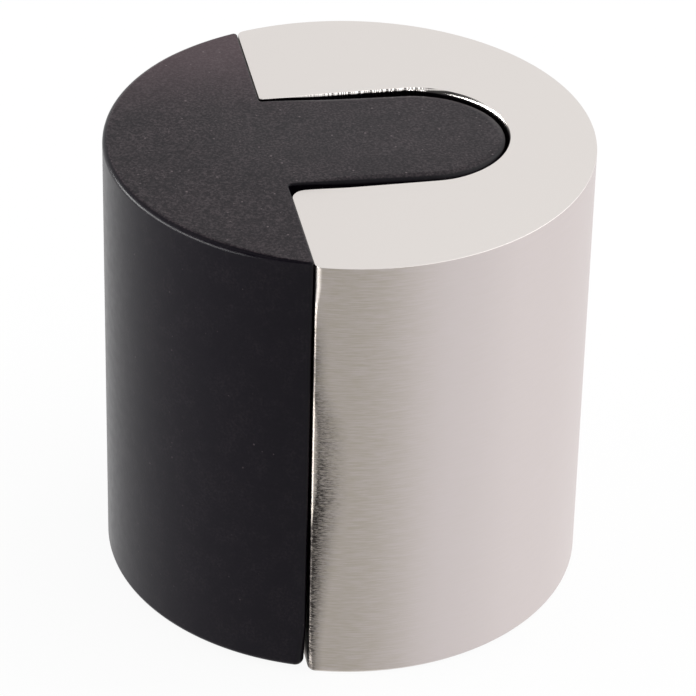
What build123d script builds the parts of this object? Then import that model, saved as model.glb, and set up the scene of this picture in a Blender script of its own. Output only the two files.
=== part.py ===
from build123d import *

import os

# Floor door stop: an upright cylinder in two pieces. A metal body with a flat and a round-ended slot
# takes a rubber buffer, whose tongue fills the slot and hides the fixing screw.
# Frame: the origin is on the cylinder's axis at floor level, +Z is up,
# and +X points from the buffer to the metal body. All sizes are in millimetres.

# The stop as a whole
stop_diameter = 45.0
stop_height = 44.0  # of the metal body
joint_offset = 6.95  # the body's flat, from the axis towards the buffer
buffer_lift = 0.4  # the buffer clears the floor by this, and stands as far above the body

# The slot in the body
slot_width = 16.7
slot_reach = 14.6  # the slot's round end, beyond the axis
web_thickness = 6.0  # metal left under the slot

# The hole for one countersunk floor screw of 5 mm
screw_hole_diameter = 5.5
countersink_diameter = 10.4
countersink_angle = 90.0

# Clearances between the buffer and the body
joint_gap = 0.2  # between the two flats
tongue_gap = 0.5  # round the tongue
seat_gap = 0.2  # between the tongue and the web

# Edges of the metal body
body_corner_radius = 0.8  # upright corners at the flat
mouth_radius = 0.9  # upright corners where the slot opens
body_top_radius = 0.2
body_base_radius = 0.5

# Edges of the rubber buffer
buffer_corner_radius = 0.8  # upright corners at the flat
root_radius = 0.3  # inner corners where the tongue leaves the block
buffer_edge_radius = 0.6  # round the top and the base
tongue_lead_in = 1.0  # bevel under the tongue, which starts it into the slot
lead_in_angle = 45.0  # of the bevel, from the upright

# Worked out from the sizes above
stop_radius = stop_diameter / 2
body_flat_x = -joint_offset
buffer_flat_x = body_flat_x - joint_gap
slot_radius = slot_width / 2
slot_centre_x = slot_reach - slot_radius
block_depth = stop_radius + buffer_flat_x
tongue_width = slot_width - 2 * tongue_gap
tongue_base_z = web_thickness + seat_gap
lead_in_top_z = tongue_base_z + tongue_lead_in
buffer_top_z = stop_height + buffer_lift


def corners_on(sketch, x):
    """The corners of a profile that lie on the line at x, from the lowest Y to the highest."""
    return sketch.vertices().filter_by_position(Axis.X, x, x).sort_by(Axis.Y)


def round_ended(width, start_x, end_centre_x):
    """A round-ended bar along X, from start_x to half a width beyond end_centre_x."""
    with BuildSketch() as bar:
        with Locations((start_x, 0)):
            Rectangle(end_centre_x - start_x, width, align=(Align.MIN, Align.CENTER))
        with Locations((end_centre_x, 0)):
            Circle(width / 2)
    return bar.sketch


def cut_circle(flat_x, kept_side, corner_radius):
    """The stop's round section on one side of a flat, with its two corners rounded.

    kept_side is Align.MAX for the side of the lower X and Align.MIN for the other.
    """
    with BuildSketch() as section:
        Circle(stop_radius)
        with Locations((flat_x, 0)):
            Rectangle(stop_diameter, stop_diameter, align=(kept_side, Align.CENTER), mode=Mode.INTERSECT)
        fillet(corners_on(section, flat_x), corner_radius)
    return section.sketch


# Metal body: the web on the floor, and above it the same section opened by the slot
with BuildPart() as metal_body:
    body_section = cut_circle(body_flat_x, Align.MIN, body_corner_radius)
    with BuildSketch():
        add(body_section)
    extrude(amount=web_thickness)
    with BuildSketch(Plane.XY.offset(web_thickness)) as slotted:
        add(body_section)
        add(round_ended(slot_width, body_flat_x, slot_centre_x), mode=Mode.SUBTRACT)
        fillet(corners_on(slotted, body_flat_x)[1:3], mouth_radius)
    extrude(amount=stop_height - web_thickness)
    with Locations((0, 0, web_thickness)):
        CounterSinkHole(
            radius=screw_hole_diameter / 2,
            counter_sink_radius=countersink_diameter / 2,
            counter_sink_angle=countersink_angle,
            depth=web_thickness,
        )
    top_face = metal_body.faces().sort_by(Axis.Z)[-1]
    fillet(top_face.outer_wire().edges(), body_top_radius)
    base_face = metal_body.faces().sort_by(Axis.Z)[0]
    fillet(base_face.outer_wire().edges(), body_base_radius)
metal_body.part.label = "metal_body"

# Rubber buffer: a block held just off the floor, and the tongue that reaches into the slot above the web
with BuildPart() as rubber_buffer:
    buffer_section = cut_circle(buffer_flat_x, Align.MAX, buffer_corner_radius)
    with BuildSketch(Plane.XY.offset(buffer_lift)):
        add(buffer_section)
    extrude(amount=lead_in_top_z - buffer_lift)
    with BuildSketch(Plane.XY.offset(lead_in_top_z)) as tongued:
        add(buffer_section)
        add(round_ended(tongue_width, buffer_flat_x, slot_centre_x))
        fillet(corners_on(tongued, buffer_flat_x)[1:3], root_radius)
    extrude(amount=buffer_top_z - lead_in_top_z)
    # The bevelled foot of the tongue starts deep inside the block
    with BuildSketch(Plane.XY.offset(lead_in_top_z)):
        add(round_ended(tongue_width, buffer_flat_x - block_depth / 2, slot_centre_x))
    extrude(amount=-tongue_lead_in, taper=lead_in_angle)
    top_face = rubber_buffer.faces().sort_by(Axis.Z)[-1]
    fillet(top_face.outer_wire().edges(), buffer_edge_radius)
    base_face = rubber_buffer.faces().sort_by(Axis.Z)[0]
    fillet(base_face.outer_wire().edges(), buffer_edge_radius)
rubber_buffer.part.label = "rubber_buffer"

os.makedirs("parts", exist_ok=True)
for piece in (metal_body, rubber_buffer):
    export_step(piece.part, f"parts/{piece.part.label}.step")
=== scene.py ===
"""Dress of a floor door stop: a metal round with a rubber buffer tongued into its slot.

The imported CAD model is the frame. Each of its two solids is stood for by a closed
surface worked out here, which keeps the CAD form and adds what the CAD leaves out:
the milling marks on the slot's walls, the set of the rubber in the slot, and the
finish of each material. Lengths are in millimetres in the surfaces and for the
camera, and in metres in the finishes and the studio.
"""

import logging
import math
from collections.abc import Callable, Sequence
from dataclasses import dataclass, field, replace
from enum import Enum
from functools import cached_property, reduce
from typing import NamedTuple

import bpy
import numpy as np
from mathutils import Matrix, Vector


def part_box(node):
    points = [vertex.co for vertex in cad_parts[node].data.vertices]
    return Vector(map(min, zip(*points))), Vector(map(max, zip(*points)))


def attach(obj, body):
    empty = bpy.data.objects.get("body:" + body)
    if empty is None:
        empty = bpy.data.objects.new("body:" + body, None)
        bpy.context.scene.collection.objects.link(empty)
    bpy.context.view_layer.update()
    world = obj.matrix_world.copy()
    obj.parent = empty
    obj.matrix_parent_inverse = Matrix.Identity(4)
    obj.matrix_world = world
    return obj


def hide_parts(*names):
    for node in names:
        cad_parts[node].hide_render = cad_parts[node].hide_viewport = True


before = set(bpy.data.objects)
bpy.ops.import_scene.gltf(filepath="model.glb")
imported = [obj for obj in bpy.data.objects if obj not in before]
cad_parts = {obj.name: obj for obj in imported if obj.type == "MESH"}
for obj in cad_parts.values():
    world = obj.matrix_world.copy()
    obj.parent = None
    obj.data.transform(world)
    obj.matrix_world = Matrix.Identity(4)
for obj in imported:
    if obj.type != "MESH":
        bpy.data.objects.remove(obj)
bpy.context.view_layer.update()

log = logging.getLogger("door_stop")

METRES_PER_MM = 0.001
# Points that agree to this are one point of the mesh
MERGE_STEP = 1e-5
# The slope of a move is taken over this to both sides
SLOPE_STEP = 1e-3
# Bearings that agree to this many decimals are one bearing
BEARING_DIGITS = 9
# Lengths read from the frame are rounded to this many decimals
LENGTH_DIGITS = 3
# Rows of points on a rounded edge
EDGE_ROWS = 9
# The mesh attribute that marks milled and buffed faces
POLISH = "polish"
QUARTER_TURN = math.pi / 2.0
AHEAD = np.array([1.0, 0.0, 0.0])
DOWN = np.array([0.0, 0.0, -1.0])
UP = np.array([0.0, 0.0, 1.0])

Warp = Callable[[np.ndarray], np.ndarray]
Lengths = float | np.ndarray
Triple = tuple[float, float, float]
Colour = tuple[float, float, float, float]
Socket = bpy.types.NodeSocket
Value = float | Sequence[float] | Socket

WHITE: Colour = (1.0, 1.0, 1.0, 1.0)


class Slot(Enum):
    """The record's material slots."""

    METAL = "satin_nickel"
    RUBBER = "black_rubber"


class Solid(Enum):
    """The CAD nodes that a surface stands for."""

    BODY = "metal_body"
    BUFFER = "rubber_buffer"


class Scatter(Enum):
    """Whether specks are scattered over the plan or through space."""

    PLAN = "2D"
    SPACE = "3D"


class Blend(Enum):
    """What a Mix node mixes, with the numbers of its two inputs and its output for that."""

    NUMBER = ("FLOAT", 2, 3, 0)
    COLOUR = ("RGBA", 6, 7, 2)


class Ramp(NamedTuple):
    """A smooth step of a value: it gives at_low up to low, and at_high from high on."""

    low: float
    high: float
    at_low: float = 0.0
    at_high: float = 1.0


class Grain(NamedTuple):
    """A noise: features per metre on each axis, octaves of finer noise, and their share."""

    scale: Triple
    detail: float
    roughness: float


@dataclass(frozen=True)
class PlanPath:
    """A curve in plan, travelled with the material on its left.

    Args:
        points: the points along it, one row each.
        normals: the unit normal at each point, facing out of the material.
        facing: the normal to shade with at each point, where fine marks turn it.
    """

    points: np.ndarray
    normals: np.ndarray
    facing: np.ndarray

    @classmethod
    def line(cls, start: Sequence[float], end: Sequence[float], count: int = 2) -> "PlanPath":
        """Straight run: point = start + share (end - start), its normal right of the travel.

        Args:
            start: the first point.
            end: the last point.
            count: the number of points.

        Returns:
            The run.
        """
        first, last = np.asarray(start, float), np.asarray(end, float)
        share = np.linspace(0.0, 1.0, count)[:, None]
        along = (last - first) / np.linalg.norm(last - first)
        normals = np.repeat(np.array([[along[1], -along[0]]]), count, axis=0)
        return cls(first + share * (last - first), normals, normals)

    @classmethod
    def arc(
        cls, centre: Sequence[float], radius: float, start: float, end: float, count: int
    ) -> "PlanPath":
        """Circular run: point = centre + radius (cos a, sin a), a going from start to end.

        The normal faces away from the centre on a left turn and towards it on a right turn.

        Args:
            centre: the circle's centre.
            radius: the circle's radius.
            start: the first angle, in degrees.
            end: the last angle, in degrees.
            count: the number of points.

        Returns:
            The run.
        """
        angle = np.radians(np.linspace(start, end, count))
        spoke = np.stack([np.cos(angle), np.sin(angle)], axis=1)
        normals = spoke if end > start else -spoke
        return cls(np.asarray(centre, float) + radius * spoke, normals, normals)

    @classmethod
    def chain(cls, runs: Sequence["PlanPath"]) -> "PlanPath":
        """Joins runs that meet end to end into one path."""
        parts = zip(*((run.points, run.normals, run.facing) for run in runs))
        return cls(*(np.vstack([part[0]] + [rows[1:] for rows in part[1:]]) for part in parts))

    @classmethod
    def across(cls, x: float, stops: Sequence[float]) -> "PlanPath":
        """Straight run along Y at one place on X, with a point at each stop."""
        pairs = zip(stops[:-1], stops[1:])
        return cls.chain([cls.line((x, start), (x, end)) for start, end in pairs])

    def inset(self, depth: Lengths) -> np.ndarray:
        """The path's points moved into the material by depth."""
        return self.points - self.normals * np.reshape(depth, (-1, 1))

    def length(self) -> np.ndarray:
        """Distance travelled at each point, from the first one."""
        steps = np.linalg.norm(np.diff(self.points, axis=0), axis=1)
        return np.concatenate([[0.0], np.cumsum(steps)])


@dataclass(frozen=True)
class WallProfile:
    """The upright section of a wall, in rows from the bottom up.

    It has one column where it is the same all along its path, or one for each point of the path.

    Args:
        inset: depth into the material, rows by columns.
        height: height, rows by columns.
        tilt: angle of the normal above the level, in radians, rows by columns.
        lean: share of a second path, from 0 to 1, rows by columns.
    """

    inset: np.ndarray
    height: np.ndarray
    tilt: np.ndarray
    lean: Lengths = 0.0

    @classmethod
    def upright(
        cls,
        bottom: float,
        top: float,
        base_radius: float,
        top_radius: Lengths,
        rows: int,
        top_drop: Lengths | None = None,
        top_turn: tuple[Lengths, Lengths] = (0.0, QUARTER_TURN),
    ) -> "WallProfile":
        """A straight wall between two rounded edges.

        On a rounded edge of radius r at angle a the inset is r (1 - cos a), and the
        height is r (1 - sin a) away from the end of the wall. The upper edge may be oval,
        with a drop d in the place of the r of its height; it then faces up by the angle
        whose tangent is r sin a / (d cos a). It may also be a part of the round, from angle
        b to angle e; its inset is then r (cos b - cos a), and its height d (sin e - sin a)
        below the end. The rows crowd together towards the top.

        Args:
            bottom: height of the wall's lower end.
            top: height of its upper end.
            base_radius: radius of the lower edge, or 0 for none.
            top_radius: radius of the upper edge, or 0 for none; one for all, or one each.
            rows: number of rows on the straight part.
            top_drop: height of the upper edge, where it isn't its radius.
            top_turn: the angles at which the upper edge begins and ends, in radians.

        Returns:
            The profile.
        """
        edge = np.atleast_1d(top_radius)[None]
        drop = edge if top_drop is None else np.atleast_1d(top_drop)[None]
        begin, end = (np.atleast_1d(angle)[None] for angle in top_turn)
        step = np.linspace(0.0, 1.0, EDGE_ROWS)[:, None] + 0.0 * edge
        foot = bottom + base_radius
        share = 1.0 - np.linspace(1.0, 0.0, rows)[:, None] ** 2
        straight = foot + share * (top - drop * (np.sin(end) - np.sin(begin)) - foot)
        inset, height, tilt = [np.zeros_like(straight)], [straight], [np.zeros_like(straight)]
        if base_radius > 0.0:
            turn = QUARTER_TURN * step[:0:-1]
            inset.insert(0, base_radius * (1.0 - np.cos(turn)))
            height.insert(0, bottom + base_radius * (1.0 - np.sin(turn)))
            tilt.insert(0, -turn)
        if edge.max() > 0.0:
            turn = begin + step * (end - begin)
            inset.append(edge * (np.cos(begin) - np.cos(turn)))
            height.append(top - drop * (np.sin(end) - np.sin(turn)))
            tilt.append(np.arctan2(edge * np.sin(turn), drop * np.cos(turn)))
        return cls(np.concatenate(inset), np.concatenate(height), np.concatenate(tilt))

    @classmethod
    def slope(cls, lower: tuple[float, float], upper: tuple[float, float]) -> "WallProfile":
        """A straight slope; its tilt's tangent is the gain of inset over the gain of height.

        Args:
            lower: inset and height of its lower end.
            upper: inset and height of its upper end.

        Returns:
            The profile.
        """
        ends = np.array([lower, upper])
        tilt = math.atan2(*(ends[1] - ends[0]))
        return cls(ends[:, :1], ends[:, 1:], np.full((2, 1), tilt))

    def leaning(self, none_at: float, whole_at: float) -> "WallProfile":
        """The profile going over to a second path between two heights."""
        return replace(self, lean=eased(self.height, none_at, whole_at))

    def rows(self, first: int, last: int | None) -> "WallProfile":
        """A part of the profile.

        Args:
            first: its first row.
            last: the row after its last one, or None for all that follow.

        Returns:
            The part.
        """
        taken = slice(first, last)
        lean = np.broadcast_to(self.lean, self.height.shape)[taken]
        return WallProfile(self.inset[taken], self.height[taken], self.tilt[taken], lean)


def lifted(plan: np.ndarray, height: float) -> np.ndarray:
    """Plan points at one height."""
    return np.column_stack([plan, np.full(len(plan), height)])


def eased(value: np.ndarray, low: float, high: float) -> np.ndarray:
    """A smooth step of value, from 0 at low to 1 at high."""
    share = np.clip((value - low) / (high - low), 0.0, 1.0)
    return share * share * (3.0 - 2.0 * share)


def direction(bearing: float, elevation: float) -> Vector:
    """The unit vector towards a bearing and an elevation.

    Args:
        bearing: angle from -Y towards +X, in degrees.
        elevation: angle above the floor, in degrees.

    Returns:
        The vector.
    """
    around, upward = math.radians(bearing), math.radians(elevation)
    level = math.cos(upward)
    return Vector((math.sin(around) * level, -math.cos(around) * level, math.sin(upward)))


def linked(name: str, data: bpy.types.ID) -> bpy.types.Object:
    """Makes an object and links it to the scene.

    Args:
        name: the object's name.
        data: its mesh, camera or lamp.

    Returns:
        The object.
    """
    made = bpy.data.objects.new(name, data)
    bpy.context.scene.collection.objects.link(made)
    return made


@dataclass
class ClosedSurface:
    """Patches of one closed surface, each with its own true normals, joined at the end.

    While polish is set, the faces of a grid are marked with it for the finish to read. It is
    one number for all of them, or one for each column.
    """

    points: list[np.ndarray] = field(default_factory=list)
    normals: list[np.ndarray] = field(default_factory=list)
    faces: list[np.ndarray] = field(default_factory=list)
    marks: list[np.ndarray] = field(default_factory=list)
    polish: Lengths = 0.0

    def add(
        self, points: np.ndarray, normals: np.ndarray, faces: np.ndarray, marks: Lengths = 0.0
    ) -> None:
        """Adds a patch.

        Args:
            points: its points, one row each.
            normals: the normal at each point, or one normal for all.
            faces: rows of three indices into the points.
            marks: the polish of each face, or one for all.
        """
        start = sum(len(block) for block in self.points)
        self.points.append(points)
        self.normals.append(np.broadcast_to(normals, points.shape))
        self.faces.append(faces + start)
        self.marks.append(np.broadcast_to(np.asarray(marks, np.float32), len(faces)))

    def grid(self, points: np.ndarray, normals: np.ndarray) -> None:
        """Adds a patch given on a grid of two parameters.

        Args:
            points: its points, rows by columns.
            normals: the normal at each point, or one normal for all.
        """
        rows, columns = points.shape[:2]
        index = np.arange(rows * columns).reshape(rows, columns)
        a, b = index[:-1, :-1].ravel(), index[:-1, 1:].ravel()
        c, d = index[1:, 1:].ravel(), index[1:, :-1].ravel()
        faces = np.vstack([np.column_stack([a, b, c]), np.column_stack([a, c, d])])
        marks = np.tile(np.broadcast_to(self.polish, (rows - 1, columns - 1)).ravel(), 2)
        facing = np.broadcast_to(normals, points.shape).reshape(-1, 3)
        self.add(points.reshape(-1, 3), facing, faces, marks)

    def wall(self, path: PlanPath, profile: WallProfile, other: PlanPath | None = None) -> None:
        """Adds an upright profile carried along a plan path.

        The point at path position s and profile row t lies at path(s) less inset(t) times
        the path's normal, at height(t); it faces the way the path does, tipped up by tilt(t).
        Where there is a second path, the first goes over to it by the share lean(t).

        Args:
            path: the plan path.
            profile: the upright section.
            other: the second path, with as many points.
        """
        shape = (len(profile.height), len(path.points))
        depth, level, tilt, lean = (
            np.broadcast_to(values, shape)[..., None]
            for values in (profile.inset, profile.height, profile.tilt, profile.lean)
        )
        second = other or path
        points, normals, facing = (
            first + lean * (last - first)
            for first, last in (
                (path.points, second.points),
                (path.normals, second.normals),
                (path.facing, second.facing),
            )
        )
        normals = normals / np.linalg.norm(normals, axis=2, keepdims=True)
        facing = facing / np.linalg.norm(facing, axis=2, keepdims=True)
        plan = points - normals * depth
        across, upward = facing * np.cos(tilt), np.sin(tilt)
        self.grid(np.concatenate([plan, level], axis=2), np.concatenate([across, upward], axis=2))

    def band(
        self,
        first: np.ndarray,
        first_share: np.ndarray,
        second: np.ndarray,
        second_share: np.ndarray,
        normal: np.ndarray,
    ) -> None:
        """Adds a flat band between two runs of points, closed up like a zip.

        The edges of both runs are taken in the order of the middle of their shares, and each
        makes a triangle with the point reached on the other run.

        Args:
            first: points of the first run.
            first_share: a rising number for each of them.
            second: points of the second run.
            second_share: a rising number for each of them, on the same scale.
            normal: the band's normal.
        """
        middle = [(share[1:] + share[:-1]) / 2.0 for share in (first_share, second_share)]
        order = np.argsort(np.concatenate(middle), kind="stable")
        on_first = order < len(middle[0])
        near = np.cumsum(on_first) - on_first
        far = np.cumsum(~on_first) - ~on_first + len(first)
        third = np.where(on_first, near + 1, far + 1)
        self.add(np.vstack([first, second]), normal, np.column_stack([near, far, third]))

    def ring(self, outer: np.ndarray, inner: np.ndarray, normal: np.ndarray) -> None:
        """Adds a flat band between two loops about the upright axis, matched by bearing.

        Args:
            outer: points of the outer loop.
            inner: points of the inner loop.
            normal: the band's normal.
        """
        runs = []
        for loop in (outer, inner):
            bearing = np.arctan2(loop[:, 1], loop[:, 0])
            order = np.unique(np.round(bearing, BEARING_DIGITS), return_index=True)[1]
            order = order[np.argsort(bearing[order])]
            runs.append(np.vstack([loop[order], loop[order[:1]]]))
            runs.append(np.append(bearing[order], bearing[order[0]] + 2.0 * math.pi))
        self.band(*runs, normal)

    def disc(
        self, loop: np.ndarray, centre: Sequence[float], rings: int, normal: np.ndarray
    ) -> None:
        """Adds a flat patch inside a loop: point = centre + t (loop(s) - centre), t from 0 to 1.

        Args:
            loop: the boundary, as points.
            centre: a point from which all of the boundary is seen.
            rings: number of rings.
            normal: the patch's normal.
        """
        share = np.linspace(0.0, 1.0, rings + 1)[:, None, None]
        middle = np.asarray(centre, float)
        self.grid(middle + share * (loop[None] - middle), normal)

    def warp(self, move: Warp) -> None:
        """Moves every point, and turns the normals by the move's inverse transposed slope.

        Args:
            move: gives new points for old ones, whole arrays at once.
        """
        steps = SLOPE_STEP * np.eye(3)
        for block, (points, normals) in enumerate(zip(self.points, self.normals)):
            sides = [move(points + step) - move(points - step) for step in steps]
            slope = np.stack(sides, axis=2) / (2.0 * SLOPE_STEP)
            turned = np.einsum("nji,nj->ni", np.linalg.inv(slope), normals)
            self.points[block] = move(points)
            self.normals[block] = turned / np.linalg.norm(turned, axis=1, keepdims=True)

    def make(self, name: str) -> bpy.types.Object:
        """Joins the patches where their points coincide and makes the mesh object.

        Faces that joining has closed up are left out, and the others are turned outwards.

        Args:
            name: the object's name.

        Returns:
            The object, linked to the scene.
        """
        points, normals = np.vstack(self.points), np.vstack(self.normals)
        corners = np.vstack(self.faces)
        _, first, joined = np.unique(
            np.round(points / MERGE_STEP).astype(np.int64),
            axis=0,
            return_index=True,
            return_inverse=True,
        )
        faces = joined.reshape(-1)[corners]
        whole = np.all(faces != np.roll(faces, 1, axis=1), axis=1)
        faces, corners, marks = faces[whole], corners[whole], np.concatenate(self.marks)[whole]
        a, b, c = (points[corners[:, k]] for k in range(3))
        outward = np.einsum("ij,ij->i", np.cross(b - a, c - a), normals[corners].mean(axis=1))
        inside_out = outward < 0.0
        faces[inside_out] = faces[inside_out][:, ::-1]
        corners[inside_out] = corners[inside_out][:, ::-1]
        mesh = bpy.data.meshes.new(name)
        mesh.from_pydata((points[first] * METRES_PER_MM).tolist(), [], faces.tolist())
        mesh.polygons.foreach_set("use_smooth", np.ones(len(faces), bool))
        mesh.attributes.new(POLISH, "FLOAT", "FACE").data.foreach_set("value", marks)
        mesh.normals_split_custom_set(normals[corners.reshape(-1)].tolist())
        mesh.update()
        return linked(name, mesh)


class ShaderNet:
    """A shader's nodes, put together one at a time."""

    def __init__(self, owner: bpy.types.ID) -> None:
        """Empties the owner's node tree.

        Args:
            owner: the material or world.
        """
        owner.use_nodes = True
        self.tree = owner.node_tree
        self.tree.nodes.clear()

    def node(
        self, kind: str, inputs: dict[str | int, Value] | None = None, **settings: str
    ) -> bpy.types.Node:
        """Adds a node.

        Args:
            kind: the node type's name.
            inputs: a value or another node's output for each input, by name or number.
            settings: the node's own properties.

        Returns:
            The node.
        """
        made = self.tree.nodes.new(kind)
        for name, value in settings.items():
            setattr(made, name, value)
        for key, value in (inputs or {}).items():
            if isinstance(value, Socket):
                self.tree.links.new(value, made.inputs[key])
            else:
                made.inputs[key].default_value = value
        return made

    def math(self, operation: str, *values: Value) -> Socket:
        """The result of a Math node on values and sockets."""
        return self.node("ShaderNodeMath", dict(enumerate(values)), operation=operation).outputs[0]

    def product(self, *values: Value) -> Socket:
        """The product of two or more values and sockets."""
        return reduce(lambda first, second: self.math("MULTIPLY", first, second), values)

    def mix(
        self, share: Value, first: Value, second: Value, kind: Blend = Blend.COLOUR
    ) -> Socket:
        """Goes from one colour or number to another.

        Args:
            share: share of the second one.
            first: the first one.
            second: the second one.
            kind: what is mixed.

        Returns:
            The mixture.
        """
        data_type, a, b, result = kind.value
        made = self.node("ShaderNodeMix", {0: share, a: first, b: second}, data_type=data_type)
        return made.outputs[result]

    def ramp(self, value: Value, step: Ramp) -> Socket:
        """A smooth step of a value.

        Args:
            value: the value.
            step: the step.

        Returns:
            The result.
        """
        inputs = dict(zip(("From Min", "From Max", "To Min", "To Max"), step))
        inputs["Value"] = value
        made = self.node("ShaderNodeMapRange", inputs, interpolation_type="SMOOTHSTEP")
        return made.outputs["Result"]

    def place(self) -> tuple[Socket, Socket, Socket]:
        """The place on the X, Y and Z axes, in metres."""
        place = self.node("ShaderNodeTexCoord").outputs["Object"]
        return tuple(self.node("ShaderNodeSeparateXYZ", {0: place}).outputs)

    def upward(self) -> Socket:
        """How far the surface faces up: 1 on a level top, and 0 on an upright side."""
        normal = self.node("ShaderNodeTexCoord").outputs["Normal"]
        return self.node("ShaderNodeSeparateXYZ", {0: normal}).outputs[2]

    def stretched(self, scale: Triple) -> Socket:
        """The place, scaled on each axis.

        Args:
            scale: the scale on each axis.

        Returns:
            The scaled place.
        """
        place = self.node("ShaderNodeTexCoord").outputs["Object"]
        made = self.node("ShaderNodeMapping", {"Vector": place, "Scale": scale})
        return made.outputs["Vector"]

    def noise(self, grain: Grain) -> Socket:
        """A noise over the surface.

        Args:
            grain: the kind of noise.

        Returns:
            The noise, about 0.5.
        """
        inputs = {"Vector": self.stretched(grain.scale), "Scale": 1.0}
        inputs |= {"Detail": grain.detail, "Roughness": grain.roughness}
        return self.node("ShaderNodeTexNoise", inputs).outputs["Fac"]


@dataclass(frozen=True)
class PaintedDarkReflection:
    """Painted dark reflection on the metal's side, beside its near upright corner: ragged dark
    colour that stands in for the shaded floor and the rubber reflected in the corner.

    Low down and high up they begin at the flat. In between they begin past the corner, which
    leaves a bare bright line. They fade away from it, and narrow to the base and to the top.

    Args:
        flat_x: where the metal's flat face lies.
        colour: their colour.
        near_y: they lie on the near side of this place.
        grain: the noise that makes them ragged.
        ragged: a factor, by the noise.
        bare: width of the bare line, by height.
        bare_left: share of that width, by height.
        onset: share of the marks, by the distance from the bare line.
        width: how far they reach, by height.
        width_left: share of that reach, by height.
        fade: a factor, by the distance over the reach.
        strength: how strong they are, by height.
        foot: share of that strength at the base, by height.
        crown: share of that strength at the top, by height.
    """

    flat_x: float
    colour: Colour = (0.040, 0.035, 0.033, 1.0)
    near_y: float = -0.0205
    grain: Grain = Grain((1900.0, 1900.0, 8000.0), 4.0, 0.8)
    ragged: Ramp = Ramp(0.3, 0.7, 0.4, 1.6)
    bare: Ramp = Ramp(0.0145, 0.0215, 0.0, 0.0004)
    bare_left: Ramp = Ramp(0.026, 0.033, 1.0, 0.0)
    onset: Ramp = Ramp(-0.00015, 0.00005)
    width: Ramp = Ramp(0.002, 0.020, 0.0014, 0.0031)
    width_left: Ramp = Ramp(0.026, 0.033, 1.0, 0.5)
    fade: Ramp = Ramp(-1.0, 1.0, 2.0, 0.0)
    strength: Ramp = Ramp(0.016, 0.027, 1.0, 0.6)
    foot: Ramp = Ramp(0.0002, 0.006, 0.95, 1.1)
    crown: Ramp = Ramp(0.034, 0.041, 1.0, 0.0)

    def mask(self, net: ShaderNet) -> Socket:
        """A mask of the marks.

        Args:
            net: the shader's nodes.

        Returns:
            The mask.
        """
        across, along, height = net.place()
        ragged = net.ramp(net.noise(self.grain), self.ragged)
        bare = net.product(
            net.ramp(height, self.bare), ragged, net.ramp(height, self.bare_left)
        )
        away = net.math("SUBTRACT", net.math("SUBTRACT", across, self.flat_x), bare)
        near = net.math("LESS_THAN", along, self.near_y)
        width = net.product(net.ramp(height, self.width), net.ramp(height, self.width_left))
        fade = net.ramp(net.math("DIVIDE", away, width), self.fade)
        steps = (self.strength, self.foot, self.crown)
        strength = net.product(*(net.ramp(height, step) for step in steps))
        return net.product(near, net.ramp(away, self.onset), fade, strength, ragged)


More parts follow.
